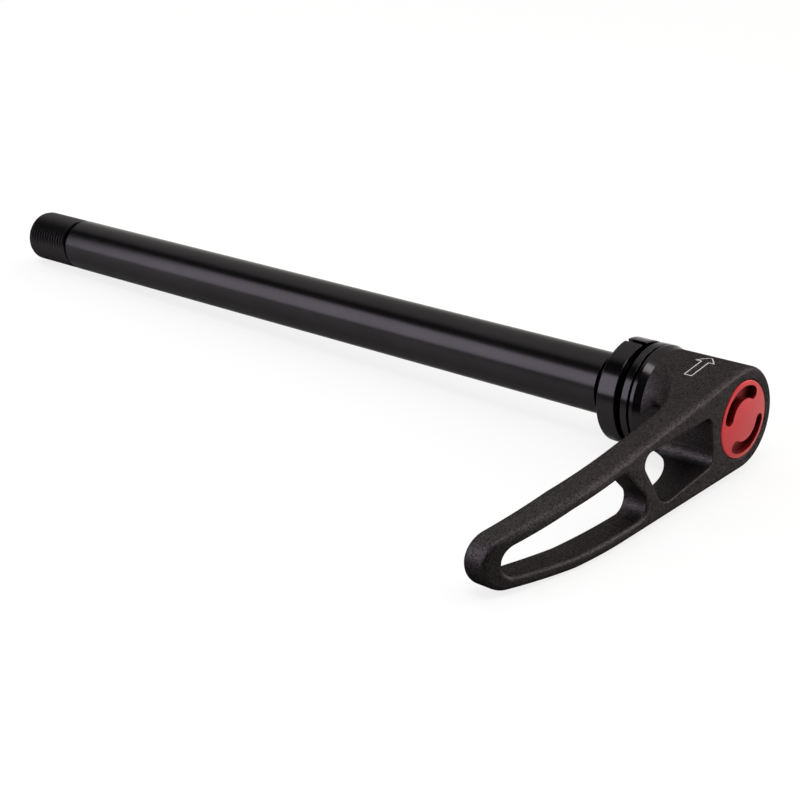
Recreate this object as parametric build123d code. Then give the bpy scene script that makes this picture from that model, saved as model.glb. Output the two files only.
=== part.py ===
from build123d import *
import math
import os

# A bicycle thru axle with a ratchet lever, in millimetres.
# X runs along the axle towards the lever and Z is up. The origin is on the axle's axis, in the face of the
# slip ring that bears on the frame. The axle lies on its thread end, its slip ring and the lever's lower
# rail.

# Axle, turned in one piece
SHAFT_DIAMETER = 12.0
SHAFT_BORE = 8.0
SHAFT_REACH = 179.8
THREAD_DIAMETER = 11.95
THREAD_LENGTH = 14.5
THREAD_END_CHAMFER = 0.9
RELIEF_DIAMETER = 10.6
RELIEF_WIDTH = 0.8
SHAFT_LEAD_IN = 0.6
NECK_DIAMETER = 10.4
NECK_SHOWING = 3.3
SPACER_DIAMETER = 17.2
SPACER_WIDTH = 1.15
FLANGE_DIAMETER = 20.0
FLANGE_WIDTH = 1.65
EDGE_BREAK = 0.15
TOOTH_COUNT = 24
TOOTH_ROOT_DIAMETER = 13.2
TOOTH_TIP_DIAMETER = 14.6
TOOTH_UNDERCUT = 0.4
TOOTH_LENGTH = 2.7
POST_DIAMETER = 10.0

# Slip ring
SLIP_RING_DIAMETER = 20.0
SLIP_RING_WIDTH = 4.0
SLIP_RING_ROUND = 0.25
SLIT_WIDTH = 1.3
SLIT_ANGLE = 92.7

# Toothed ring, pressed into the lever
TOOTH_RING_DIAMETER = 20.0
TOOTH_RING_RIM = 0.8
TOOTH_RING_WIDTH = 2.55
TOOTH_RING_TAPER = 0.75
SPIGOT_DIAMETER = 16.6
SPIGOT_LENGTH = 3.0

# Lever hub
HUB_DIAMETER = 19.2
HUB_LENGTH = 15.35
HUB_SHOULDER = 0.05
GUIDE_LENGTH = 2.7
POCKET_LEAD_IN = 0.25

# Lever arm, measured from the axle's axis along the arm
ARM_REACH = 66.0
ARM_THICKNESS = 5.5
ARM_MID_REACH = 48.0
ARM_MID_WIDTH = 13.1
ARM_TIP_RADIUS = 4.8
FACE_BEND_START = 37.0
FACE_BEND_RADIUS = 80.0
BACK_BEND_START = 33.0
BACK_BEND_RADIUS = 115.0
HUB_BLEND = 12.0
FACE_ROUND = 1.0
BACK_ROUND = 1.1

# Lever windows
NEAR_UPPER_RAIL_WIDTH = 2.0
NEAR_LOWER_RAIL_WIDTH = 2.7
FAR_RAIL_WIDTH = 2.25
ROOT_RAIL_WIDTH = 4.1
NEAR_FACE_ROUND = 0.3
FAR_FACE_ROUND = 0.7
FAR_BACK_ROUND = 0.9
HUB_WALL = 2.5
END_WALL = 3.55
ROOT_CORNER = 1.9
NEAR_LOWER_REACH = 23.1
NEAR_LOWER_CORNER = 3.8
NEAR_UPPER_REACH = 28.15
NEAR_UPPER_CORNER = 1.9
FAR_LOWER_REACH = 32.0
FAR_LOWER_CORNER = 2.4
FAR_UPPER_REACH = 36.8
FAR_UPPER_CORNER = 3.0

# Cap screw
CAP_DIAMETER = 14.4
CAP_THICKNESS = 2.5
CAP_EDGE = 0.15
CAP_CROWN = 0.4
CAP_FLAT_DIAMETER = 1.0
CAP_SHANK_LENGTH = 8.0
KEY_SLOT_RADIUS = 5.15
KEY_SLOT_WIDTH = 2.35
KEY_SLOT_DEPTH = 1.3
KEY_SLOT_ANGLE = 110.5
KEY_SLOT_SWEEP = 104.0

# Spring and washer
WASHER_DIAMETER = 14.0
WASHER_THICKNESS = 0.5
WIRE_DIAMETER = 0.7
COIL_DIAMETER = 12.2
COIL_TURNS = 3

# Clearances
RUNNING_CLEARANCE = 0.05
TOOTH_CLEARANCE = 0.12
RING_PLAY = 0.1
PARTING_GAP = 0.25
SPRING_GAP = 0.04
SLIP_RING_LEAD_IN = 0.2

# Radii
shaft_radius = SHAFT_DIAMETER / 2
bore_radius = SHAFT_BORE / 2
thread_radius = THREAD_DIAMETER / 2
neck_radius = NECK_DIAMETER / 2
post_radius = POST_DIAMETER / 2
slip_ring_radius = SLIP_RING_DIAMETER / 2
hub_radius = HUB_DIAMETER / 2
mid_radius = ARM_MID_WIDTH / 2
cap_radius = CAP_DIAMETER / 2
pocket_radius = cap_radius + RUNNING_CLEARANCE
guide_radius = post_radius + RUNNING_CLEARANCE
spigot_radius = SPIGOT_DIAMETER / 2

# Places along the axle
thread_end = -SHAFT_REACH + THREAD_LENGTH
shaft_start = thread_end + RELIEF_WIDTH
spacer_start = SLIP_RING_WIDTH + RING_PLAY
flange_start = spacer_start + SPACER_WIDTH
flange_end = flange_start + FLANGE_WIDTH
teeth_start = flange_end + TOOTH_UNDERCUT
teeth_end = teeth_start + TOOTH_LENGTH
tooth_ring_start = flange_end + PARTING_GAP
hub_start = tooth_ring_start + TOOTH_RING_WIDTH
spigot_end = hub_start + SPIGOT_LENGTH
guide_end = spigot_end + GUIDE_LENGTH
washer_end = guide_end + WASHER_THICKNESS
lever_face = hub_start + HUB_LENGTH
arm_back = lever_face - ARM_THICKNESS
post_end = lever_face - CAP_THICKNESS

# The lever's own planes: u runs from the axle's axis along the arm, v runs up across it
face_plane = Plane(origin=(lever_face, 0, 0), x_dir=(0, -1, 0), z_dir=(-1, 0, 0))
side_plane = Plane(origin=(0, 0, 0), x_dir=(0, -1, 0), z_dir=(0, 0, 1))


def turned(points):
    """A solid turned about the axle's axis from its section, given as places along the axle and radii."""
    return revolve(make_face(Polyline(*points, close=True)), Axis.X)


def tube(start, end, outer, inner):
    """A plain tube about the axle's axis."""
    return turned([(start, inner), (start, outer), (end, outer), (end, inner)])


def rod(start, end, radius):
    """A plain rod about the axle's axis."""
    return turned([(start, 0), (start, radius), (end, radius), (end, 0)])


def serration(start, end, root, tip):
    """A prism of pointed teeth about the axle's axis, with a tooth that points along Y."""
    step = 2 * math.pi / TOOTH_COUNT
    points = []
    for tooth in range(TOOTH_COUNT):
        points.append((tip * math.cos(tooth * step), tip * math.sin(tooth * step)))
        gap = (tooth + 0.5) * step
        points.append((root * math.cos(gap), root * math.sin(gap)))
    section = Plane(origin=(start, 0, 0), x_dir=(0, 1, 0), z_dir=(1, 0, 0))
    return extrude(section * make_face(Polyline(*points, close=True)), end - start)


def belt(circles):
    """The face inside a belt stretched round circles (u, v, radius) that are listed anticlockwise.

    The belt passes by a circle that it would have to turn round the other way.
    """
    leave = []
    for (u0, v0, r0), (u1, v1, r1) in zip(circles, circles[1:] + circles[:1]):
        run = math.hypot(u1 - u0, v1 - v0)
        heading = math.atan2(v1 - v0, u1 - u0)
        leave.append(math.degrees(heading - math.acos((r0 - r1) / run)))
    turns = [(leave[i] - leave[i - 1]) % 360 for i in range(len(circles))]
    if not math.isclose(sum(turns), 360):
        loose = turns.index(max(turns))
        return belt(circles[:loose] + circles[loose + 1:])
    arcs = []
    for i, (u, v, radius) in enumerate(circles):
        arcs.append(CenterArc((u, v), radius, leave[i - 1], turns[i]))
    lines = [Line(arc @ 1, after @ 0) for arc, after in zip(arcs, arcs[1:] + arcs[:1])]
    return make_face(arcs + lines)


def axle_shaft():
    """The hollow axle: thread, tube, neck, spacer, flange, toothed boss and post."""
    flange_radius = FLANGE_DIAMETER / 2
    root_radius = TOOTH_ROOT_DIAMETER / 2
    body = turned([
        (-SHAFT_REACH, bore_radius),
        (-SHAFT_REACH, thread_radius - THREAD_END_CHAMFER),
        (-SHAFT_REACH + THREAD_END_CHAMFER, thread_radius),
        (thread_end, thread_radius),
        (thread_end, RELIEF_DIAMETER / 2),
        (shaft_start, RELIEF_DIAMETER / 2),
        (shaft_start, shaft_radius - SHAFT_LEAD_IN),
        (shaft_start + SHAFT_LEAD_IN, shaft_radius),
        (-NECK_SHOWING, shaft_radius),
        (-NECK_SHOWING, neck_radius),
        (spacer_start, neck_radius),
        (spacer_start, SPACER_DIAMETER / 2),
        (flange_start, SPACER_DIAMETER / 2),
        (flange_start, flange_radius - EDGE_BREAK),
        (flange_start + EDGE_BREAK, flange_radius),
        (flange_end - EDGE_BREAK, flange_radius),
        (flange_end, flange_radius - EDGE_BREAK),
        (flange_end, root_radius),
        (teeth_end, root_radius),
        (teeth_end, post_radius),
        (post_end, post_radius),
        (post_end, bore_radius),
    ])
    teeth = serration(teeth_start, teeth_end, root_radius, TOOTH_TIP_DIAMETER / 2)
    return body + (teeth - rod(teeth_start, teeth_end, post_radius))


def slip_ring():
    """The slit ring that bears on the frame and turns on the axle's neck."""
    bore = neck_radius + RUNNING_CLEARANCE
    mouth = shaft_radius + SLIP_RING_LEAD_IN
    ring = turned([
        (0, mouth),
        (0, slip_ring_radius),
        (SLIP_RING_WIDTH, slip_ring_radius),
        (SLIP_RING_WIDTH, bore),
        (mouth - bore, bore),
    ])
    rims = ring.edges().filter_by(GeomType.CIRCLE).group_by(SortBy.RADIUS)[-1]
    ring = fillet(rims, SLIP_RING_ROUND)
    slit = Pos(SLIP_RING_WIDTH / 2, 0, 0) * Box(
        SLIP_RING_WIDTH * 2, slip_ring_radius * 2, SLIT_WIDTH, align=(Align.CENTER, Align.MIN, Align.CENTER)
    )
    return ring - Rot(SLIT_ANGLE, 0, 0) * slit


def tooth_ring():
    """The ring of inner teeth that is pressed into the lever and shows as its rim."""
    rim_radius = TOOTH_RING_DIAMETER / 2
    rim_end = tooth_ring_start + TOOTH_RING_RIM
    root_radius = TOOTH_ROOT_DIAMETER / 2 + TOOTH_CLEARANCE
    tip_radius = TOOTH_TIP_DIAMETER / 2 + TOOTH_CLEARANCE
    body = turned([
        (tooth_ring_start, 0),
        (tooth_ring_start, rim_radius - EDGE_BREAK),
        (tooth_ring_start + EDGE_BREAK, rim_radius),
        (rim_end, rim_radius),
        (hub_start, rim_radius - TOOTH_RING_TAPER),
        (hub_start, spigot_radius),
        (spigot_end, spigot_radius),
        (spigot_end, 0),
    ])
    mesh = serration(tooth_ring_start, spigot_end, root_radius, tip_radius)
    return body - mesh - rod(teeth_end, spigot_end, tip_radius)


def bend_drop(reach, start, radius):
    """How far a face that bends from its start has fallen back at a reach."""
    return radius - math.sqrt(radius**2 - (reach - start) ** 2)


def bent_edge(height, start, radius):
    """The bent stretch of one of the arm's faces, seen from the side, from its start past the arm's tip."""
    end = ARM_REACH + ARM_TIP_RADIUS
    middle = (start + end) / 2
    return ThreePointArc(
        (start, height),
        (middle, height - bend_drop(middle, start, radius)),
        (end, height - bend_drop(end, start, radius)),
    )


def bend_cutter():
    """What lies in front of the arm's bent face."""
    edge = bent_edge(lever_face, FACE_BEND_START, FACE_BEND_RADIUS)
    top = lever_face + ARM_THICKNESS
    rest = Polyline(edge @ 1, ((edge @ 1).X, top), (FACE_BEND_START, top), edge @ 0)
    return extrude(side_plane * make_face([edge, rest]), HUB_DIAMETER, both=True)


def back_cutter():
    """What lies behind the arm, round the hub's barrel and the blend that joins the two."""
    barrel_radius = hub_radius + HUB_SHOULDER
    start = hub_radius * (hub_radius - mid_radius) / ARM_MID_REACH
    low = hub_start - HUB_BLEND
    edge = bent_edge(arm_back, BACK_BEND_START, BACK_BEND_RADIUS)
    rest = Polyline(edge @ 1, ((edge @ 1).X, low), (start, low), (start, arm_back), edge @ 0)
    block = extrude(side_plane * make_face([edge, rest]), HUB_DIAMETER, both=True)
    block -= rod(low - HUB_BLEND, lever_face, barrel_radius)
    seam = block.edges().filter_by(GeomType.CIRCLE).filter_by(
        lambda e: math.isclose(e.radius, barrel_radius) and math.isclose((e @ 0).X, arm_back)
    )
    return fillet(seam, HUB_BLEND)


def outline_half_width(reach):
    """Half the arm's width at a reach between its hub and its middle."""
    taper = (hub_radius - mid_radius) / ARM_MID_REACH
    return (hub_radius - taper * reach) / math.sqrt(1 - taper**2)


def corner(reach, radius, rail, side):
    """A window's corner circle, one rail's width inside the arm's upper (1) or lower (-1) edge."""
    return (reach, side * (outline_half_width(reach) - rail - radius), radius)


def near_window():
    """The outline of the window next to the hub."""
    root_reach = pocket_radius + HUB_WALL + ROOT_CORNER
    return belt([
        corner(root_reach, ROOT_CORNER, ROOT_RAIL_WIDTH, 1),
        corner(root_reach, ROOT_CORNER, ROOT_RAIL_WIDTH, -1),
        corner(NEAR_LOWER_REACH, NEAR_LOWER_CORNER, NEAR_LOWER_RAIL_WIDTH, -1),
        corner(NEAR_UPPER_REACH, NEAR_UPPER_CORNER, NEAR_UPPER_RAIL_WIDTH, 1),
    ])


def far_window():
    """The outline of the long window that tapers to the tip, with even rails."""
    middle_radius = mid_radius - FAR_RAIL_WIDTH
    middle = (ARM_MID_REACH, 0, middle_radius)
    taper = (mid_radius - ARM_TIP_RADIUS) / (ARM_REACH - ARM_TIP_RADIUS - ARM_MID_REACH)
    end_run = (ARM_REACH - END_WALL - ARM_MID_REACH - middle_radius) / (1 - taper)
    return belt([
        corner(FAR_LOWER_REACH, FAR_LOWER_CORNER, FAR_RAIL_WIDTH, -1),
        middle,
        (ARM_MID_REACH + end_run, 0, middle_radius - taper * end_run),
        middle,
        corner(FAR_UPPER_REACH, FAR_UPPER_CORNER, FAR_RAIL_WIDTH, 1),
    ])


def broad_face(solid, height, bend):
    """One of the arm's broad faces: its flat stretch and its bent one."""
    flat = solid.faces().filter_by(Axis.X).filter_by(lambda f: math.isclose(f.center().X, height))
    bent = solid.faces().filter_by(GeomType.CYLINDER).filter_by(lambda f: math.isclose(f.radius, bend))
    return flat + bent


def rim(faces):
    """The edges round a group of faces, without those between them."""
    edges = faces.edges()
    return edges.filter_by(lambda e: edges.count(e) == 1)


def window_rims(solid, cutter):
    """The edges that a window's cutter has left in the arm's faces, without those along its walls."""
    return solid.edges().filter_by(lambda e: cutter.is_inside(e @ 0.5)).filter_by(Axis.X, reverse=True)


def lever_dip():
    """How far the lever leans below level, in degrees, to lie on the surface under the axle's ends."""
    run = SHAFT_REACH - THREAD_END_CHAMFER + SLIP_RING_ROUND
    slope = (slip_ring_radius - thread_radius) / run
    touch = arm_back - bend_drop(ARM_MID_REACH, BACK_BEND_START, BACK_BEND_RADIUS) + BACK_ROUND
    floor_depth = slip_ring_radius + slope * (touch - SLIP_RING_ROUND)
    return math.degrees(math.asin((floor_depth - mid_radius) / ARM_MID_REACH))


def lever():
    """The forged lever: hub, arm with two rails and a web, and its bored inside."""
    middle = (ARM_MID_REACH, 0, mid_radius)
    tip = (ARM_REACH - ARM_TIP_RADIUS, 0, ARM_TIP_RADIUS)
    outline = belt([(0, 0, hub_radius), middle, tip, middle])
    body = extrude(face_plane * outline, HUB_LENGTH) - bend_cutter() - back_cutter()
    body = fillet(rim(broad_face(body, lever_face, FACE_BEND_RADIUS)), FACE_ROUND)
    blend = body.faces().filter_by(GeomType.TORUS).edges()
    body = fillet(rim(broad_face(body, arm_back, BACK_BEND_RADIUS)) - blend, BACK_ROUND)
    near_cutter = extrude(face_plane * near_window(), lever_face)
    far_cutter = extrude(face_plane * far_window(), lever_face)
    body = body - near_cutter - far_cutter
    for cutter, face_round in ((near_cutter, NEAR_FACE_ROUND), (far_cutter, FAR_FACE_ROUND)):
        front = broad_face(body, lever_face, FACE_BEND_RADIUS).edges()
        body = fillet(window_rims(body, cutter) & front, face_round)
    back = broad_face(body, arm_back, BACK_BEND_RADIUS).edges()
    room = min(FAR_RAIL_WIDTH, END_WALL) - BACK_ROUND - EDGE_BREAK
    body = fillet(window_rims(body, far_cutter) & back, min(FAR_BACK_ROUND, room))
    pocket = turned([
        (guide_end, 0),
        (guide_end, pocket_radius),
        (lever_face - POCKET_LEAD_IN, pocket_radius),
        (lever_face, pocket_radius + POCKET_LEAD_IN),
        (lever_face, 0),
    ])
    bore = rod(hub_start, spigot_end, spigot_radius) + rod(hub_start, lever_face, guide_radius)
    return Rot(lever_dip(), 0, 0) * (body - pocket - bore)


def spring_washer():
    """The thin washer between the spring and the lever."""
    return tube(guide_end, washer_end, WASHER_DIAMETER / 2, guide_radius)


def return_spring():
    """The coil spring between the washer and the cap."""
    wire_radius = WIRE_DIAMETER / 2
    start = washer_end + wire_radius + SPRING_GAP
    height = post_end - washer_end - WIRE_DIAMETER - 2 * SPRING_GAP
    coil = Helix(height / COIL_TURNS, height, COIL_DIAMETER / 2, center=(start, 0, 0), direction=(1, 0, 0))
    return sweep(Plane(origin=coil @ 0, z_dir=coil % 0) * Circle(wire_radius), path=coil)


def cap_screw():
    """The cap that holds the lever on: key slots in its crowned face and a shank in the axle's bore."""
    face_radius = cap_radius - CAP_EDGE
    flat_radius = CAP_FLAT_DIAMETER / 2
    middle_radius = (face_radius + flat_radius) / 2
    crown_radius = (face_radius**2 + CAP_CROWN**2) / (2 * CAP_CROWN)
    crown_top = lever_face + CAP_CROWN
    flat_top = crown_top - bend_drop(flat_radius, 0, crown_radius)
    crown = ThreePointArc(
        (lever_face, face_radius),
        (crown_top - bend_drop(middle_radius, 0, crown_radius), middle_radius),
        (flat_top, flat_radius),
    )
    outline = Polyline(
        (flat_top, flat_radius),
        (flat_top, 0),
        (post_end - CAP_SHANK_LENGTH, 0),
        (post_end - CAP_SHANK_LENGTH, bore_radius),
        (post_end, bore_radius),
        (post_end, cap_radius),
        (lever_face - CAP_EDGE, cap_radius),
        (lever_face, face_radius),
    )
    body = revolve(make_face([crown, outline]), Axis.X)
    slot_floor = Plane(origin=(lever_face - KEY_SLOT_DEPTH, 0, 0), x_dir=(0, 1, 0), z_dir=(1, 0, 0))
    for middle in (KEY_SLOT_ANGLE, KEY_SLOT_ANGLE + 180):
        line = CenterArc((0, 0), KEY_SLOT_RADIUS, middle - KEY_SLOT_SWEEP / 2, KEY_SLOT_SWEEP)
        body -= extrude(slot_floor * SlotArc(line, KEY_SLOT_WIDTH), KEY_SLOT_DEPTH + CAP_CROWN)
    return body


os.makedirs("parts", exist_ok=True)
for piece in (axle_shaft, slip_ring, tooth_ring, lever, spring_washer, return_spring, cap_screw):
    export_step(piece(), f"parts/{piece.__name__}.step")
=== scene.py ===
"""Looks of a bicycle thru axle: threaded axle, slip ring, ratchet lever and red cap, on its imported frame."""
import logging
import math
from contextlib import contextmanager
from dataclasses import dataclass
from enum import Enum
from typing import Callable, Iterator

import bpy
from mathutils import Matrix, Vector


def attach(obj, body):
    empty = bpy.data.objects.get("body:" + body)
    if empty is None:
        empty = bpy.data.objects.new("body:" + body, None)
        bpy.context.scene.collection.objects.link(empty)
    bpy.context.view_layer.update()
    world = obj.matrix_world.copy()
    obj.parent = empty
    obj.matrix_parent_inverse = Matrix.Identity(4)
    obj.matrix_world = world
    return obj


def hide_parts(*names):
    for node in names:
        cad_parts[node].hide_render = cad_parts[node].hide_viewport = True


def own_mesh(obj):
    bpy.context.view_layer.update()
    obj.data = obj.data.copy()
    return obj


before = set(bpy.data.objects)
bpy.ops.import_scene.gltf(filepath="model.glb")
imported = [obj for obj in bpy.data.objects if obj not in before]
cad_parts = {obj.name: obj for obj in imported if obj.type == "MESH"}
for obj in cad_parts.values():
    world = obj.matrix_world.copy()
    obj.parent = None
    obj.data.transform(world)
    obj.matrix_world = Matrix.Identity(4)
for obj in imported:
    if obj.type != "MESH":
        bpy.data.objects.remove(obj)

log = logging.getLogger("thru_axle")

MM = 0.001
FULL_TURN = 2 * math.pi
MERGE_REACH = 1e-6

Colour = tuple[float, float, float]
Point = tuple[float, float, float]
Section = list[tuple[float, float]]
Piece = bpy.types.Object
Node = bpy.types.Node
Socket = bpy.types.NodeSocket
Surface = tuple[Socket, Socket, Socket, float]


class Axis(Enum):
    """The part's own directions."""

    ALONG = (1.0, 0.0, 0.0)
    UP = (0.0, 0.0, 1.0)


class Stretch(Enum):
    """Stretches of the axle, by the number of their finish."""

    TUBE = 0
    THREAD = 1
    FLANGE = 2


class Bench:
    """Hand tools for one piece at a time."""

    @staticmethod
    def clear() -> None:
        """Deselect every object."""
        bpy.ops.object.select_all(action="DESELECT")

    @staticmethod
    def take(piece: Piece) -> None:
        """Make a piece the only selected and active object.

        Args:
            piece: The piece to take.
        """
        Bench.clear()
        piece.select_set(True)
        bpy.context.view_layer.objects.active = piece

    @staticmethod
    def name_new(name: str) -> Piece:
        """Name the primitive just added and move its place into its mesh.

        Args:
            name: The piece's name.

        Returns:
            The named piece, at the origin.
        """
        piece = bpy.context.object
        piece.name = name
        piece.data.name = name
        bpy.ops.object.transform_apply(location=True, rotation=True, scale=True)
        return piece

    @staticmethod
    @contextmanager
    def editing(piece: Piece) -> Iterator[None]:
        """Hold a piece in edit mode, with all of it selected at the start.

        Args:
            piece: The piece to edit.

        Returns:
            A context that leaves edit mode at its end.
        """
        Bench.take(piece)
        bpy.ops.object.mode_set(mode="EDIT")
        bpy.ops.mesh.select_mode(type="VERT")
        bpy.ops.mesh.select_all(action="SELECT")
        yield
        bpy.ops.object.mode_set(mode="OBJECT")

    @staticmethod
    def pick(piece: Piece, test: Callable[[Vector], bool]) -> None:
        """Select a piece's vertices by their place, in edit mode.

        Args:
            piece: The piece in edit mode.
            test: Says whether a place is picked.
        """
        bpy.ops.mesh.select_all(action="DESELECT")
        bpy.ops.object.mode_set(mode="OBJECT")
        for vertex in piece.data.vertices:
            vertex.select = test(vertex.co)
        bpy.ops.object.mode_set(mode="EDIT")

    @staticmethod
    def close(piece: Piece) -> None:
        """Merge a piece's doubled vertices and point its faces outwards.

        Args:
            piece: The piece to close.
        """
        with Bench.editing(piece):
            bpy.ops.mesh.remove_doubles(threshold=MERGE_REACH)
            bpy.ops.mesh.normals_make_consistent(inside=False)

    @staticmethod
    def modify(piece: Piece, kind: str, **settings: object) -> None:
        """Add a modifier to a piece and apply it.

        Args:
            piece: The piece to change.
            kind: The modifier's type.
            settings: The modifier's values by name.
        """
        Bench.take(piece)
        modifier = piece.modifiers.new(kind.lower(), kind)
        for key, value in settings.items():
            setattr(modifier, key, value)
        bpy.ops.object.modifier_apply(modifier=modifier.name)

    @staticmethod
    def cut(piece: Piece, tool: Piece) -> None:
        """Cut a closed tool out of a closed piece and throw the tool away."""
        Bench.modify(piece, "BOOLEAN", operation="DIFFERENCE", solver="EXACT", object=tool)
        bpy.data.objects.remove(tool)

    @staticmethod
    def smooth(piece: Piece, degrees: float) -> None:
        """Shade a piece smooth up to an angle, with its large faces kept true.

        Args:
            piece: The finished mesh.
            degrees: Edges sharper than this stay sharp.
        """
        Bench.take(piece)
        bpy.ops.object.shade_smooth_by_angle(angle=math.radians(degrees))
        Bench.modify(piece, "WEIGHTED_NORMAL", mode="FACE_AREA", keep_sharp=True)

    @staticmethod
    def lathe(name: str, section: Section, segments: int) -> Piece:
        """Turn a hollow piece: a circle is extruded round its closed section and met again.

        Args:
            name: The piece's name.
            section: Places along the axle and radii, in metres.
            segments: Sides of the turned form.

        Returns:
            The turned piece, closed and facing outwards.
        """
        (start, radius), *_ = section
        Bench.clear()
        bpy.ops.mesh.primitive_circle_add(
            vertices=segments, radius=radius, location=(start, 0, 0), rotation=(0, math.pi / 2, 0)
        )
        piece = Bench.name_new(name)
        with Bench.editing(piece):
            for (x0, r0), (x1, r1) in zip(section, section[1:] + section[:1]):
                bpy.ops.mesh.extrude_region_move(TRANSFORM_OT_translate={"value": (x1 - x0, 0, 0)})
                bpy.ops.transform.resize(value=(1, r1 / r0, r1 / r0), center_override=(x1, 0, 0))
        Bench.close(piece)
        return piece

    @staticmethod
    def coil(
        name: str, start: float, pitch: float, turns: int, steps: int, shape: Callable[[], None]
    ) -> Piece:
        """Wind a flat section along the axle into a closed helical bar.

        Args:
            name: The piece's name.
            start: Where the section's middle starts along the axle.
            pitch: Advance along the axle for each turn.
            turns: Whole turns.
            steps: Steps in each turn.
            shape: Adds the section, in the plane of the axle and Y.

        Returns:
            The helical bar, closed and facing outwards.
        """
        Bench.clear()
        shape()
        piece = Bench.name_new(name)
        with Bench.editing(piece):
            bpy.ops.mesh.delete(type="ONLY_FACE")
            bpy.ops.mesh.select_all(action="SELECT")
            bpy.ops.transform.translate(value=(start, 0, 0))
        Bench.modify(
            piece, "SCREW", axis="X", angle=FULL_TURN, screw_offset=pitch, iterations=turns,
            steps=steps, render_steps=steps,
        )
        with Bench.editing(piece):
            bpy.ops.mesh.fill_holes(sides=0)
        Bench.close(piece)
        return piece


class Wiring:
    """A node tree with short ways to add nodes and join them."""

    def __init__(self, tree: bpy.types.NodeTree) -> None:
        """Take an empty node tree in hand."""
        self.tree = tree

    def add(
        self, kind: str, inputs: dict[str | int, object] | None = None, **settings: object
    ) -> Node:
        """Add a node.

        Args:
            kind: The node's type without its ShaderNode prefix.
            inputs: Values, or output sockets to join, by input name or number.
            settings: The node's own options.

        Returns:
            The new node.
        """
        node = self.tree.nodes.new("ShaderNode" + kind)
        for key, value in settings.items():
            setattr(node, key, value)
        for key, value in (inputs or {}).items():
            if isinstance(value, Socket):
                self.tree.links.new(value, node.inputs[key])
            else:
                node.inputs[key].default_value = value
        return node

    def maths(self, operation: str, *values: object) -> Socket:
        """Add a Math node and give its result."""
        return self.add("Math", dict(enumerate(values)), operation=operation).outputs[0]

    def vector(self, operation: str, *values: object, result: str = "Vector") -> Socket:
        """Add a Vector Math node and give its result."""
        return self.add("VectorMath", dict(enumerate(values)), operation=operation).outputs[result]

    def scaled(self, colour: Socket, share: Socket) -> Socket:
        """Scale a colour by a share."""
        return self.add("VectorMath", {0: colour, "Scale": share}, operation="SCALE").outputs["Vector"]

    def blend(self, first: Socket, second: Socket, share: float) -> Socket:
        """Add a share of one value to the rest of another."""
        return self.maths("MULTIPLY_ADD", first, share, self.maths("MULTIPLY", second, 1.0 - share))

    def effect(self, name: str, **inputs: object) -> Node:
        """Add one of the shared effects, with its inputs by name."""
        return self.add("Group", inputs, node_tree=bpy.data.node_groups[name])

    def ramp(self, value: Socket, stops: list[tuple[float, Colour]]) -> Socket:
        """Add a colour ramp.

        Args:
            value: What the ramp reads.
            stops: Places and colours, in order.

        Returns:
            The ramp's colour.
        """
        node = self.add("ValToRGB", {"Fac": value})
        elements = node.color_ramp.elements
        while len(elements) < len(stops):
            elements.new(1.0)
        for element, (place, colour) in zip(elements, stops):
            element.position = place
            element.color = (*colour, 1.0)
        return node.outputs["Color"]

    def span(self, value: Socket, low: float, high: float) -> Socket:
        """Spread a value from 0 to 1 over a range."""
        return self.add("MapRange", {"Value": value, "To Min": low, "To Max": high}).outputs["Result"]


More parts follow.
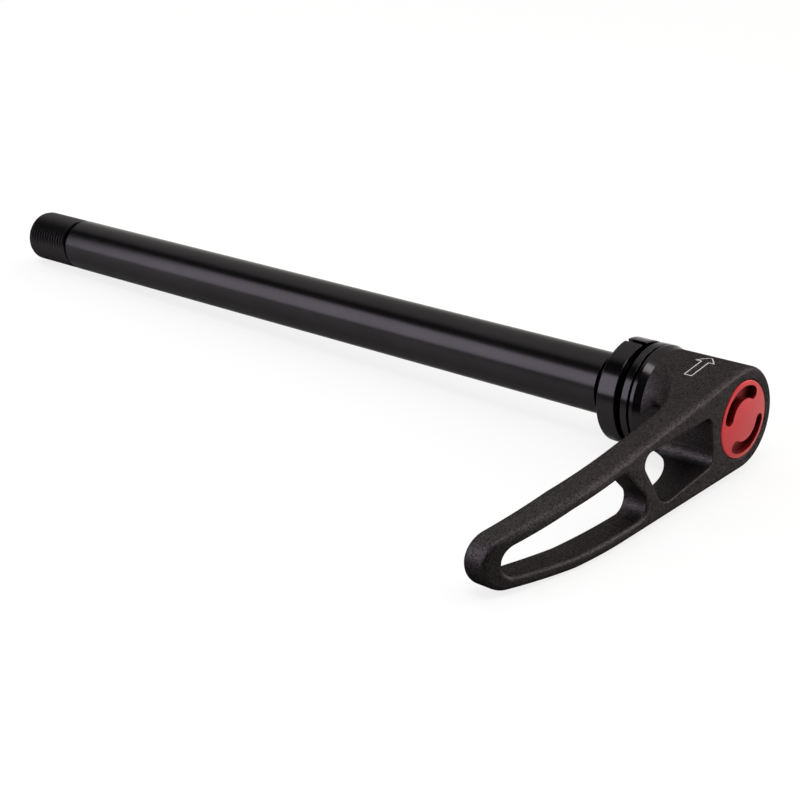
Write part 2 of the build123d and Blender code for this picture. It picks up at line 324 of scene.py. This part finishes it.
class Effect:
    """Surface effects that several finishes share, each built once as a node group.

    Attributes:
        MOTTLE_RATE: How often the broad mottle varies, as a share of the dents.
        MOTTLE_FINE: Share of the fine grain in the mottle.
        BAND_RATE: How often the bands of a turned surface vary, as a share of its rings.
        SMEAR_RATE: Smears of handling in a metre.
        SMEAR_WARP: How far the smears are drawn out of shape.
        SPECK_RATE: Specks in a metre.
        SPECK_RANGE: Where a speck starts to show and where it shows in full.
    """

    MOTTLE_RATE = 0.06
    MOTTLE_FINE = 0.88
    BAND_RATE = 0.035
    SMEAR_RATE = 90.0
    SMEAR_WARP = 0.8
    SPECK_RATE = 2600.0
    SPECK_RANGE = (0.70, 0.80)

    @staticmethod
    def group(name: str, inputs: dict[str, str], outputs: list[str]) -> tuple[Wiring, Node, Node]:
        """Start a node group with its sockets.

        Args:
            name: The group's name.
            inputs: Socket kinds by input name.
            outputs: Names of the values it puts out.

        Returns:
            The group's wiring, its input node and its output node.
        """
        tree = bpy.data.node_groups.new(name, "ShaderNodeTree")
        for key, kind in inputs.items():
            tree.interface.new_socket(key, in_out="INPUT", socket_type="NodeSocket" + kind)
        for key in outputs:
            tree.interface.new_socket(key, in_out="OUTPUT", socket_type="NodeSocketFloat")
        wiring = Wiring(tree)
        return wiring, tree.nodes.new("NodeGroupInput"), tree.nodes.new("NodeGroupOutput")

    @staticmethod
    def blasting() -> bpy.types.NodeTree:
        """Make the grain that glass beads leave: packed dents of uneven size, with a soft mottle.

        Returns:
            A group that takes Vector and Size and puts out Height and Mottle.
        """
        sockets = {"Vector": "Vector", "Size": "Float"}
        wiring, into, out = Effect.group("bead_blasting", sockets, ["Height", "Mottle"])
        place = into.outputs["Vector"]
        scale = wiring.maths("DIVIDE", 1.0, into.outputs["Size"])
        dents = wiring.add("TexVoronoi", {"Vector": place, "Scale": scale}, feature="F1")
        fine = wiring.add("TexNoise", {"Vector": place, "Scale": scale, "Detail": 2.0})
        broad_scale = wiring.maths("MULTIPLY", scale, Effect.MOTTLE_RATE)
        broad = wiring.add("TexNoise", {"Vector": place, "Scale": broad_scale, "Detail": 3.0})
        height = wiring.maths("ADD", dents.outputs["Distance"], fine.outputs["Fac"])
        mottle = wiring.blend(fine.outputs["Fac"], broad.outputs["Fac"], Effect.MOTTLE_FINE)
        wiring.tree.links.new(height, out.inputs["Height"])
        wiring.tree.links.new(mottle, out.inputs["Mottle"])
        return wiring.tree

    @staticmethod
    def turning() -> bpy.types.NodeTree:
        """Make the fine rings that a lathe tool leaves along the axle.

        Returns:
            A group that takes Vector and Feed and puts out Height and Band.
        """
        sockets = {"Vector": "Vector", "Feed": "Float"}
        wiring, into, out = Effect.group("lathe_rings", sockets, ["Height", "Band"])
        place = wiring.add("SeparateXYZ", {"Vector": into.outputs["Vector"]})
        along = wiring.maths("DIVIDE", place.outputs["X"], into.outputs["Feed"])
        rings = wiring.add("TexNoise", {"W": along, "Scale": 1.0, "Detail": 2.0}, noise_dimensions="1D")
        slow = wiring.maths("MULTIPLY", along, Effect.BAND_RATE)
        bands = wiring.add("TexNoise", {"W": slow, "Scale": 1.0, "Detail": 1.0}, noise_dimensions="1D")
        wiring.tree.links.new(rings.outputs["Fac"], out.inputs["Height"])
        wiring.tree.links.new(bands.outputs["Fac"], out.inputs["Band"])
        return wiring.tree

    @staticmethod
    def handling() -> bpy.types.NodeTree:
        """Make the faint smears and specks of a part that has been handled.

        Returns:
            A group that takes Vector and puts out Smear and Speck.
        """
        wiring, into, out = Effect.group("handling", {"Vector": "Vector"}, ["Smear", "Speck"])
        place = into.outputs["Vector"]
        smear = wiring.add("TexNoise", {
            "Vector": place, "Scale": Effect.SMEAR_RATE, "Detail": 4.0, "Distortion": Effect.SMEAR_WARP,
        })
        grit = wiring.add("TexNoise", {"Vector": place, "Scale": Effect.SPECK_RATE, "Detail": 1.0})
        low, high = Effect.SPECK_RANGE
        speck = wiring.add("MapRange", {"Value": grit.outputs["Fac"], "From Min": low, "From Max": high})
        wiring.tree.links.new(smear.outputs["Fac"], out.inputs["Smear"])
        wiring.tree.links.new(speck.outputs["Result"], out.inputs["Speck"])
        return wiring.tree


@dataclass(frozen=True)
class Finish:
    """A surface finish. Subclasses wire what is their own.

    Attributes:
        name: The material's name.
        dark: Colour of its darker places.
        light: Colour of its lighter places.
        rough_low: Roughness of its glossier places.
        rough_high: Roughness of its duller places.
        metal: Share of bare metal.
        shine: Strength of its plain reflections.
        edge: Tint of the reflections that graze it.
        tone: Where its pattern leaves the dark colour and where it reaches the light one.
    """

    name: str
    dark: Colour
    light: Colour
    rough_low: float
    rough_high: float
    metal: float = 0.0
    shine: float = 0.5
    edge: float = 1.0
    tone: tuple[float, float] = (0.35, 0.65)

    def material(self) -> bpy.types.Material:
        """Give the material of this finish, made the first time it is asked for.

        Returns:
            The material.
        """
        made = bpy.data.materials.get(self.name)
        if made is not None:
            return made
        made = bpy.data.materials.new(self.name)
        made.use_nodes = True
        made.node_tree.nodes.clear()
        wiring = Wiring(made.node_tree)
        place = wiring.add("TexCoord").outputs["Object"]
        colour, rough, height, depth = self.surface(wiring, place)
        bump = wiring.add("Bump", {"Strength": 1.0, "Distance": depth, "Height": height})
        shader = wiring.add("BsdfPrincipled", {
            "Base Color": colour, "Roughness": rough, "Normal": bump.outputs["Normal"],
            "Metallic": self.metal, "Specular IOR Level": self.shine,
            "Specular Tint": (self.edge, self.edge, self.edge, 1.0),
        })
        wiring.add("OutputMaterial", {"Surface": shader.outputs["BSDF"]})
        return made

    def coloured(self, wiring: Wiring, pattern: Socket) -> Socket:
        """Colour a pattern from the finish's dark to its light."""
        low, high = self.tone
        return wiring.ramp(pattern, [(low, self.dark), (high, self.light)])

    def surface(self, wiring: Wiring, place: Socket) -> Surface:
        """Wire the finish's own pattern.

        Args:
            wiring: The material's nodes.
            place: Object coordinates.

        Returns:
            Colour, roughness, height and the depth of that height in metres.
        """
        raise NotImplementedError


@dataclass(frozen=True)
class TurnedFinish(Finish):
    """A turned and anodised surface with fine rings along the axle.

    Attributes:
        feed: Spacing of the rings, in metres.
        depth: Depth of the rings, in metres.
        ring_share: Share of the rings in the pattern, beside the smears.
    """

    feed: float = 0.15 * MM
    depth: float = 0.4e-6
    ring_share: float = 0.5

    def ring_place(self, wiring: Wiring, place: Socket) -> Socket:
        """Give the place whose X counts the rings: they follow each other along the axle."""
        return place

    def surface(self, wiring: Wiring, place: Socket) -> Surface:
        """Wire lathe rings with smears of handling over them.

        Args:
            wiring: The material's nodes.
            place: Object coordinates.

        Returns:
            Colour, roughness, height and the depth of that height in metres.
        """
        rings = wiring.effect("lathe_rings", Vector=self.ring_place(wiring, place), Feed=self.feed)
        smear = wiring.effect("handling", Vector=place).outputs["Smear"]
        colour = self.coloured(wiring, wiring.blend(rings.outputs["Height"], smear, self.ring_share))
        worn = wiring.blend(rings.outputs["Band"], smear, self.ring_share)
        rough = wiring.span(worn, self.rough_low, self.rough_high)
        return colour, rough, rings.outputs["Height"], self.depth


@dataclass(frozen=True)
class DepthShadedFinish(TurnedFinish):
    """A turned finish with painted shade: its colour darkens with depth along the axle, down into the cap's
    slots.

    Attributes:
        rim: Place along the axle where the painted shade starts, at the cap's face, in metres.
        floor: Place along the axle of the slots' floor, where the painted shade is deepest, in metres.
        slot_floor_shade: Share of the colour that is left at the floor, as painted shade.
    """

    rim: float = 25.05 * MM
    floor: float = 23.75 * MM
    slot_floor_shade: float = 0.28

    def ring_place(self, wiring: Wiring, place: Socket) -> Socket:
        """Give the place whose X counts the rings: they follow each other outwards on the face.

        Args:
            wiring: The material's nodes.
            place: Object coordinates.

        Returns:
            The distance from the axle's axis, as the X of a place.
        """
        across = wiring.vector("MULTIPLY", place, (0.0, 1.0, 1.0))
        radius = wiring.vector("LENGTH", across, result="Value")
        return wiring.add("CombineXYZ", {"X": radius}).outputs["Vector"]

    def surface(self, wiring: Wiring, place: Socket) -> Surface:
        """Wire the turned finish and shade it by its depth.

        Args:
            wiring: The material's nodes.
            place: Object coordinates.

        Returns:
            Colour, roughness, height and the depth of that height in metres.
        """
        colour, rough, height, depth = super().surface(wiring, place)
        # Painted shade: the colour darkens from the cap's face down into its slots, standing in for the shade
        # there.
        along = wiring.add("SeparateXYZ", {"Vector": place}).outputs["X"]
        share = wiring.add(
            "MapRange", {"Value": along, "From Min": self.floor, "From Max": self.rim, "To Min": self.slot_floor_shade}
        ).outputs["Result"]
        return wiring.scaled(colour, share), rough, height, depth


@dataclass(frozen=True)
class BlastedFinish(Finish):
    """A bead-blasted and anodised surface with a fine sandy grain, and painted shade in a box round the
    lever's near window.

    Attributes:
        grain: Size of the dents, in metres.
        depth: Depth of the dents, in metres.
        shade_box_middle: Middle of the box of painted shade round the lever's near window, in metres.
        shade_box_half: Half the box's size each way, in metres.
        shade_box_edge: Where the painted shade starts to lighten and where it ends, as shares of the box's
            half size.
        painted_shade_share: Share of the colour that is left in the painted shade on the window's inner walls.
        speck_gloss: How much glossier a speck is.
    """

    grain: float = 0.30 * MM
    depth: float = 18e-6
    shade_box_middle: Point = (14.9 * MM, -18.4 * MM, 0.65 * MM)
    shade_box_half: Point = (9.95 * MM, 9.1 * MM, 3.55 * MM)
    shade_box_edge: tuple[float, float] = (0.88, 1.04)
    painted_shade_share: float = 0.26
    speck_gloss: float = 0.35
    tone: tuple[float, float] = (0.32, 0.68)

    def near_window_shade(self, wiring: Wiring, place: Socket) -> Socket:
        """Give the share of the colour that is left, from the painted shade in the near window to the open
        faces.

        Args:
            wiring: The material's nodes.
            place: Object coordinates.

        Returns:
            The share.
        """
        away = wiring.vector("SUBTRACT", place, self.shade_box_middle)
        shares = wiring.vector("ABSOLUTE", wiring.vector("DIVIDE", away, self.shade_box_half))
        sides = wiring.add("SeparateXYZ", {"Vector": shares}).outputs
        most = wiring.maths("MAXIMUM", sides["X"], wiring.maths("MAXIMUM", sides["Y"], sides["Z"]))
        low, high = self.shade_box_edge
        return wiring.add("MapRange", {
            "Value": most, "From Min": low, "From Max": high, "To Min": self.painted_shade_share, "To Max": 1.0,
        }).outputs["Result"]

    def surface(self, wiring: Wiring, place: Socket) -> Surface:
        """Wire the blasted grain, with specks where it catches the light, and darken the near window with
        painted shade.

        Args:
            wiring: The material's nodes.
            place: Object coordinates.

        Returns:
            Colour, roughness, height and the depth of that height in metres.
        """
        blast = wiring.effect("bead_blasting", Vector=place, Size=self.grain)
        touch = wiring.effect("handling", Vector=place)
        unshaded_colour = self.coloured(wiring, blast.outputs["Mottle"])
        # Painted shade: the colour is darkened inside a box round the near window's inner walls, standing in
        # for the shade there.
        colour = wiring.scaled(unshaded_colour, self.near_window_shade(wiring, place))
        worn = wiring.maths("MULTIPLY_ADD", touch.outputs["Speck"], -self.speck_gloss, touch.outputs["Smear"])
        rough = wiring.span(worn, self.rough_low, self.rough_high)
        return colour, rough, blast.outputs["Height"], self.depth


@dataclass(frozen=True)
class PaintFinish(Finish):
    """A thin printed line.

    Attributes:
        depth: Depth of its specks, in metres.
    """

    depth: float = 2e-6
    tone: tuple[float, float] = (0.3, 0.7)

    def surface(self, wiring: Wiring, place: Socket) -> Surface:
        """Wire a printed coat with faint unevenness.

        Args:
            wiring: The material's nodes.
            place: Object coordinates.

        Returns:
            Colour, roughness, height and the depth of that height in metres.
        """
        touch = wiring.effect("handling", Vector=place)
        colour = self.coloured(wiring, touch.outputs["Smear"])
        rough = wiring.span(touch.outputs["Smear"], self.rough_low, self.rough_high)
        return colour, rough, touch.outputs["Speck"], self.depth


SATIN_BLACK = TurnedFinish(
    "satin_black_tube", (0.0196, 0.0186, 0.0196), (0.0244, 0.0231, 0.0244), 0.20, 0.28, metal=1.0, edge=0.6,
)
THREAD_BLACK = TurnedFinish(
    "black_thread", (0.0220, 0.0208, 0.0220), (0.0290, 0.0275, 0.0290), 0.24, 0.34, metal=1.0, edge=0.6,
)
GLOSS_BLACK = TurnedFinish(
    "gloss_black_rings", (0.0194, 0.0184, 0.0194), (0.0233, 0.0222, 0.0233), 0.12, 0.20, metal=1.0, edge=0.6,
)
CHARCOAL = BlastedFinish(
    "blasted_charcoal", (0.0168, 0.0149, 0.0152), (0.0630, 0.0566, 0.0580), 0.46, 0.58, metal=1.0, edge=0.32,
)
RED_ANODISE = DepthShadedFinish(
    "red_anodised_cap", (0.37, 0.020, 0.023), (0.44, 0.029, 0.033), 0.32, 0.42, metal=0.85,
)
SPRING_STEEL = TurnedFinish(
    "spring_steel_wire", (0.30, 0.30, 0.31), (0.44, 0.44, 0.45), 0.25, 0.38, metal=1.0,
)
WHITE_PRINT = PaintFinish("white_print", (0.36, 0.36, 0.355), (0.44, 0.44, 0.435), 0.45, 0.6)


def dress(node: str, finish: Finish) -> None:
    """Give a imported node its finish.

    Args:
        node: The node's name.
        finish: The finish to wear.
    """
    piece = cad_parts[node]
    piece.material_slots[0].material = finish.material()
    log.info("dressed %s in %s", node, finish.name)


@dataclass
class Axle:
    """The hollow axle: thread, tube, neck, flange, toothed boss and post.

    Lengths are in millimetres and angles in degrees.
    """

    end: float = -179.8
    bore: float = 4.0
    bore_mouth: float = 0.35
    thread_radius: float = 5.975
    thread_chamfer: float = 0.9
    thread_end: float = -165.3
    thread_pitch: float = 1.0
    thread_depth: float = 0.6
    thread_root_width: float = 0.10
    thread_mouth_width: float = 0.97
    thread_clear: float = 0.06
    thread_run_out: float = 0.3
    relief_radius: float = 5.3
    tube_start: float = -164.5
    tube_radius: float = 6.0
    tube_lead_in: float = 0.6
    neck_start: float = -3.3
    neck_radius: float = 5.2
    spacer_start: float = 4.1
    spacer_radius: float = 8.6
    flange_start: float = 5.25
    flange_end: float = 6.9
    flange_radius: float = 10.0
    flange_edge: float = 0.15
    teeth: int = 24
    teeth_start: float = 7.3
    teeth_end: float = 10.0
    tooth_root: float = 6.6
    tooth_tip: float = 7.3
    post_radius: float = 5.0
    post_end: float = 22.55
    edge_break: float = 0.07
    edge_steps: int = 2
    edge_angle: float = 40.0
    smooth_angle: float = 35.0
    segments: int = 144

    def section(self) -> Section:
        """Give the axle's closed section, from its threaded end along the outside and back along the bore.

        Returns:
            Places along the axle and radii, in metres.
        """
        points = [
            (self.end, self.bore + self.bore_mouth),
            (self.end, self.thread_radius - self.thread_chamfer),
            (self.end + self.thread_chamfer, self.thread_radius),
            (self.thread_end, self.thread_radius),
            (self.thread_end, self.relief_radius),
            (self.tube_start, self.relief_radius),
            (self.tube_start, self.tube_radius - self.tube_lead_in),
            (self.tube_start + self.tube_lead_in, self.tube_radius),
            (self.neck_start, self.tube_radius),
            (self.neck_start, self.neck_radius),
            (self.spacer_start, self.neck_radius),
            (self.spacer_start, self.spacer_radius),
            (self.flange_start, self.spacer_radius),
            (self.flange_start, self.flange_radius - self.flange_edge),
            (self.flange_start + self.flange_edge, self.flange_radius),
            (self.flange_end - self.flange_edge, self.flange_radius),
            (self.flange_end, self.flange_radius - self.flange_edge),
            (self.flange_end, self.tooth_root),
            (self.teeth_start, self.tooth_root),
            (self.teeth_start, self.tooth_tip),
            (self.teeth_end, self.tooth_tip),
            (self.teeth_end, self.post_radius),
            (self.post_end, self.post_radius),
            (self.post_end, self.bore),
            (self.end + self.bore_mouth, self.bore),
        ]
        return [(x * MM, r * MM) for x, r in points]

    def notch_teeth(self, piece: Piece) -> None:
        """Pull the toothed boss in between its tips, so that its flanks are flat.

        Args:
            piece: The turned axle.
        """
        per_tooth = self.segments // self.teeth
        half = math.pi / self.teeth
        steps = {min(k, per_tooth - k) for k in range(1, per_tooth)}
        with Bench.editing(piece):
            for step in sorted(steps):
                angle = step * FULL_TURN / self.segments
                chord = self.tooth_tip * math.sin(angle) + self.tooth_root * math.sin(half - angle)
                share = self.tooth_root * math.sin(half) / chord
                Bench.pick(piece, lambda place, step=step: self.on_tooth(place, per_tooth, step))
                bpy.ops.transform.resize(value=(1, share, share), center_override=(0, 0, 0))
        Bench.close(piece)

    def on_tooth(self, place: Vector, per_tooth: int, step: int) -> bool:
        """Say whether a vertex lies on the boss, so many steps from a tip.

        Args:
            place: The vertex.
            per_tooth: Steps from one tip to the next.
            step: Steps from the nearest tip.

        Returns:
            True where it does.
        """
        if not self.flange_end * MM < place.x < (self.teeth_end + self.edge_break) * MM:
            return False
        if math.hypot(place.y, place.z) < (self.tooth_tip - self.edge_break) * MM:
            return False
        index = round(math.atan2(place.z, place.y) / FULL_TURN * self.segments) % per_tooth
        return min(index, per_tooth - index) == step

    def thread_section(self) -> None:
        """Add the thread groove's section: a plane at its size and place, widened towards its mouth."""
        low = self.thread_radius - self.thread_depth
        high = self.thread_radius + self.thread_clear
        bpy.ops.mesh.primitive_plane_add(size=1.0, location=(0, (low + high) / 2 * MM, 0))
        bpy.ops.object.mode_set(mode="EDIT")
        size = (self.thread_root_width * MM, (high - low) * MM, 1)
        bpy.ops.transform.resize(value=size, center_override=(0, (low + high) / 2 * MM, 0))
        piece = bpy.context.object
        Bench.pick(piece, lambda place: place.y > 0)
        share = self.thread_mouth_width / self.thread_root_width
        bpy.ops.transform.resize(value=(share, 1, 1), center_override=(0, high * MM, 0))
        bpy.ops.object.mode_set(mode="OBJECT")

    def cut_thread(self, piece: Piece) -> None:
        """Cut the right-hand thread, from before the axle's end into the relief.

        Args:
            piece: The turned axle.
        """
        run = self.thread_end - self.end
        turns = math.ceil(run / self.thread_pitch) + 1
        start = self.thread_end + self.thread_run_out - turns * self.thread_pitch
        tool = Bench.coil(
            "thread_tool", start * MM, self.thread_pitch * MM, turns, self.segments // 2, self.thread_section
        )
        Bench.cut(piece, tool)

    def paint(self, piece: Piece) -> None:
        """Put the thread's and the flange's finishes on their stretches, and satin on the rest.

        Args:
            piece: The finished axle.
        """
        finishes = {Stretch.TUBE: SATIN_BLACK, Stretch.THREAD: THREAD_BLACK, Stretch.FLANGE: GLOSS_BLACK}
        for stretch in Stretch:
            piece.data.materials.append(finishes[stretch].material())
        for face in piece.data.polygons:
            if face.center.x < self.tube_start * MM:
                face.material_index = Stretch.THREAD.value
            elif face.center.x > (self.neck_start + self.edge_break) * MM:
                face.material_index = Stretch.FLANGE.value

    def build(self) -> None:
        """Turn the axle, cut its teeth and thread, and dress it."""
        piece = Bench.lathe("axle", self.section(), self.segments)
        self.notch_teeth(piece)
        Bench.modify(
            piece, "BEVEL", width=self.edge_break * MM, segments=self.edge_steps, limit_method="ANGLE",
            angle_limit=math.radians(self.edge_angle), use_clamp_overlap=True,
        )
        self.cut_thread(piece)
        self.paint(piece)
        Bench.smooth(piece, self.smooth_angle)
        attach(piece, "axle")
        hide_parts("axle_shaft")
        log.info("axle: %d faces", len(piece.data.polygons))


@dataclass
class ReturnSpring:
    """The coil spring between the washer and the cap. Lengths are in millimetres, angles in degrees."""

    start: float = 15.9
    end: float = 22.55
    gap: float = 0.04
    wire_radius: float = 0.35
    coil_radius: float = 6.1
    turns: int = 3
    steps: int = 48
    wire_sides: int = 16
    smooth_angle: float = 40.0
    pull: float = 3.4

    def wire_section(self) -> None:
        """Add the wire's round section, in the plane of the axle and Y."""
        bpy.ops.mesh.primitive_circle_add(
            vertices=self.wire_sides, radius=self.wire_radius * MM, location=(0, self.coil_radius * MM, 0),
            fill_type="NGON",
        )

    def build(self) -> None:
        """Wind the spring and dress it and its washer."""
        first = self.start + self.gap + self.wire_radius
        rise = self.end - self.start - 2 * (self.gap + self.wire_radius)
        piece = Bench.coil(
            "spring", first * MM, rise / self.turns * MM, self.turns, self.steps, self.wire_section
        )
        piece.data.materials.append(SPRING_STEEL.material())
        Bench.smooth(piece, self.smooth_angle)
        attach(piece, "axle")
        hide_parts("return_spring")
        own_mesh(piece)
        log.info("spring: %d faces", len(piece.data.polygons))
        dress("spring_washer", SPRING_STEEL)


@dataclass
class LeverHead:
    """The lever with its toothed ring, its cap screw and a plain turning mark.

    Lengths are in millimetres and angles in degrees.
    """

    hub_radius: float = 9.6
    mark_along: float = 17.4
    mark_angle: float = 76.0
    mark_shaft: float = 1.7
    mark_run: float = 5.6
    mark_head: float = 2.9
    mark_head_width: float = 4.0
    mark_line: float = 0.2
    mark_lift: float = 0.012
    mark_cuts: int = 9
    mark_hover: float = 1.0

    def mark(self) -> None:
        """Print an outlined arrow round the hub: a plane is extruded to its head, inset and opened."""
        Bench.clear()
        bpy.ops.mesh.primitive_plane_add(size=1.0)
        piece = Bench.name_new("turning_mark")
        tail = -(self.mark_run + self.mark_head) / 2 * MM
        neck = tail + self.mark_run * MM
        tip = neck + self.mark_head * MM
        shaft = self.mark_shaft * MM
        with Bench.editing(piece):
            bpy.ops.transform.resize(value=(shaft, self.mark_run * MM, 1), center_override=(0, 0, 0))
            bpy.ops.transform.translate(value=(0, (tail + neck) / 2, 0))
            Bench.pick(piece, lambda place: place.y > neck - MERGE_REACH)
            bpy.ops.mesh.extrude_region_move(TRANSFORM_OT_translate={"value": (0, 0, 0)})
            widening = self.mark_head_width / self.mark_shaft
            bpy.ops.transform.resize(value=(widening, 1, 1), center_override=(0, neck, 0))
            bpy.ops.mesh.extrude_region_move(TRANSFORM_OT_translate={"value": (0, tip - neck, 0)})
            bpy.ops.transform.resize(value=(0, 1, 1), center_override=(0, tip, 0))
            bpy.ops.mesh.select_all(action="SELECT")
            bpy.ops.mesh.remove_doubles(threshold=MERGE_REACH)
            bpy.ops.mesh.dissolve_faces()
            bpy.ops.mesh.select_all(action="SELECT")
            bpy.ops.mesh.inset(thickness=self.mark_line * MM, use_boundary=True)
            bpy.ops.mesh.delete(type="FACE")
            bpy.ops.mesh.select_all(action="SELECT")
            bpy.ops.mesh.subdivide(number_cuts=self.mark_cuts)
            lean = math.radians(90 - self.mark_angle)
            height = (self.hub_radius + self.mark_hover) * MM
            bpy.ops.transform.translate(value=(self.mark_along * MM, 0, height))
            bpy.ops.transform.rotate(value=-lean, orient_axis="X", center_override=(0, 0, 0))
        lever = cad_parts["lever"]
        Bench.modify(
            piece, "SHRINKWRAP", target=lever, wrap_method="NEAREST_SURFACEPOINT", wrap_mode="ABOVE_SURFACE",
            offset=self.mark_lift * MM,
        )
        Bench.close(piece)
        piece.data.materials.append(WHITE_PRINT.material())
        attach(piece, "lever")
        log.info("turning mark: %d faces", len(piece.data.polygons))

    def build(self) -> None:
        """Dress the lever, its ring and its cap, and print the mark."""
        dress("lever", CHARCOAL)
        dress("tooth_ring", GLOSS_BLACK)
        dress("cap_screw", RED_ANODISE)
        self.mark()


@dataclass(frozen=True)
class Lamp:
    """A soft studio lamp.

    Attributes:
        name: The lamp's name.
        place: Where it stands, in metres.
        size: Width and height of its face, in metres.
        glow: Brightness of its face, where 1 is white.
        tint: Its colour.
    """

    name: str
    place: Point
    size: tuple[float, float]
    glow: float
    tint: Colour

    def hang(self, aim: Vector) -> None:
        """Put the lamp in its place, facing a point.

        Args:
            aim: The point it faces.
        """
        light = bpy.data.lights.new(self.name, "AREA")
        light.shape = "RECTANGLE"
        light.size, light.size_y = self.size
        light.energy = self.glow * math.pi * self.size[0] * self.size[1]
        light.color = self.tint
        lamp = bpy.data.objects.new(self.name, light)
        bpy.context.scene.collection.objects.link(lamp)
        lamp.location = self.place
        lamp.rotation_euler = (aim - lamp.location).to_track_quat("-Z", "Y").to_euler()


@dataclass
class Studio:
    """The white floor, the soft light and the camera. Lengths are in metres, angles in degrees."""

    eye: Point = (0.16875377, -0.24110047, 0.11572575)
    turn: Point = (68.25190, 2.25553, 42.40615)
    lens: float = 75.4065
    sensor: float = 36.0
    floor_size: float = 12.0
    floor_drop: float = -0.0099944
    floor_tilt: float = 1.2871
    floor_white: float = 0.16
    floor_glow: float = 0.80
    floor_mirrored: float = 0.9
    aim: Point = (-0.06, 0.0, 0.0)
    dark_way: Point = (0.652, -0.743, 0.151)
    dark_cone: tuple[float, float] = (0.20, 0.60)
    dark_level: float = 0.12
    reflected_shade_way: Point = (0.35, -0.937, 0.0)
    reflected_shade_edge: tuple[float, float] = (0.018, 0.08)
    tent_glow: float = 5.0
    tent: tuple[tuple[float, Colour], ...] = (
        (-0.85, (1.0, 0.97, 0.94)), (-0.55, (0.40, 0.388, 0.376)), (-0.10, (0.252, 0.243, 0.234)),
        (0.45, (0.27, 0.261, 0.252)), (0.66, (0.204, 0.198, 0.192)), (0.77, (0.018, 0.018, 0.018)),
        (0.86, (0.018, 0.018, 0.018)),
    )
    lamps: tuple[Lamp, ...] = (
        Lamp("front_softbox", (-0.70, -0.80, 0.37), (0.80, 0.70), 4.9, (0.94, 0.89, 1.0)),
        Lamp("top_softbox", (0.06, -0.26, 0.96), (0.5, 0.3), 8.0, (1.0, 0.98, 0.96)),
    )

    def fade(self, wiring: Wiring, value: Socket, span: tuple[float, float]) -> Socket:
        """Fade from full light to the level of the dark side.

        Args:
            wiring: The nodes to add to.
            value: What the fade reads.
            span: Where the fade starts and ends.

        Returns:
            The share of light that is left.
        """
        low, high = span
        return wiring.add("MapRange", {
            "Value": value, "From Min": low, "From Max": high, "To Min": 1.0, "To Max": self.dark_level,
        }).outputs["Result"]

    def lay_floor(self) -> None:
        """Lay the pale floor under the axle's thread, ring and lever, with painted shade on its camera side
        where reflections see it.
        """
        Bench.clear()
        tilt = math.radians(self.floor_tilt)
        place = Vector(Axis.UP.value) * self.floor_drop
        bpy.ops.mesh.primitive_plane_add(size=self.floor_size, location=place, rotation=(0, tilt, 0))
        floor = bpy.context.object
        floor.name = "floor"
        material = bpy.data.materials.new("pale_floor")
        material.use_nodes = True
        material.node_tree.nodes.clear()
        wiring = Wiring(material.node_tree)
        path = wiring.add("LightPath")
        spot = wiring.add("TexCoord").outputs["Object"]
        # Painted shade: seen in reflections, the floor's colour fades dark towards the camera's side.
        front = wiring.vector("DOT_PRODUCT", spot, self.reflected_shade_way, result="Value")
        lit = wiring.maths("MULTIPLY", self.fade(wiring, front, self.reflected_shade_edge), self.floor_mirrored)
        mirrored = path.outputs["Is Glossy Ray"]
        white = wiring.add("Mix", {"Factor": mirrored, "A": self.floor_white, "B": lit}).outputs["Result"]
        seen = wiring.maths("MAXIMUM", path.outputs["Is Camera Ray"], path.outputs["Is Transmission Ray"])
        matte = wiring.add("BsdfDiffuse", {"Color": white})
        glow = wiring.add("Emission", {"Strength": wiring.maths("MULTIPLY", seen, self.floor_glow)})
        both = wiring.add("AddShader", {0: matte.outputs[0], 1: glow.outputs[0]})
        wiring.add("OutputMaterial", {"Surface": both.outputs[0]})
        floor.data.materials.append(material)

    def light(self) -> None:
        """Hang the lamps and set the surroundings, darker round the front lamp and on the camera's side."""
        for lamp in self.lamps:
            lamp.hang(Vector(self.aim))
        world = bpy.data.worlds.new("white_studio")
        bpy.context.scene.world = world
        world.use_nodes = True
        world.node_tree.nodes.clear()
        wiring = Wiring(world.node_tree)
        way = wiring.add("TexCoord").outputs["Generated"]
        lamp_way = Vector(self.lamps[0].place).normalized()
        near = wiring.vector("DOT_PRODUCT", way, lamp_way, result="Value")
        facing = wiring.vector("DOT_PRODUCT", way, self.dark_way, result="Value")
        dim = self.fade(wiring, facing, self.dark_cone)
        stops = [((place + 1) / 2, colour) for place, colour in self.tent]
        colour = wiring.ramp(wiring.maths("MULTIPLY_ADD", near, 0.5, 0.5), stops)
        glow = wiring.maths("MULTIPLY", dim, self.tent_glow)
        room = wiring.add("Background", {"Color": colour, "Strength": glow})
        white = wiring.add("Background", {"Color": (1.0, 1.0, 1.0, 1.0)})
        camera_ray = wiring.add("LightPath").outputs["Is Camera Ray"]
        mix = wiring.add("MixShader", {0: camera_ray, 1: room.outputs[0], 2: white.outputs[0]})
        wiring.add("OutputWorld", {"Surface": mix.outputs[0]})

    def set_camera(self) -> None:
        """Stand the camera at the photograph's viewpoint."""
        camera = bpy.data.cameras.new("camera")
        camera.lens = self.lens
        camera.sensor_width = self.sensor
        stand = bpy.data.objects.new("camera", camera)
        bpy.context.scene.collection.objects.link(stand)
        stand.location = self.eye
        stand.rotation_euler = [math.radians(angle) for angle in self.turn]
        bpy.context.scene.camera = stand
        bpy.context.scene.view_settings.view_transform = "Standard"

    def build(self) -> None:
        """Set up the floor, the light and the camera."""
        self.lay_floor()
        self.light()
        self.set_camera()
        log.info("studio: %d lamps", len(self.lamps))


def main() -> None:
    """Build and dress the whole axle, piece by piece."""
    logging.basicConfig(level=logging.INFO, format="%(name)s: %(message)s")
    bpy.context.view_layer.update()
    Effect.blasting()
    Effect.turning()
    Effect.handling()
    Axle().build()
    dress("slip_ring", GLOSS_BLACK)
    LeverHead().build()
    ReturnSpring().build()
    Studio().build()


if __name__ == "__main__":
    main()
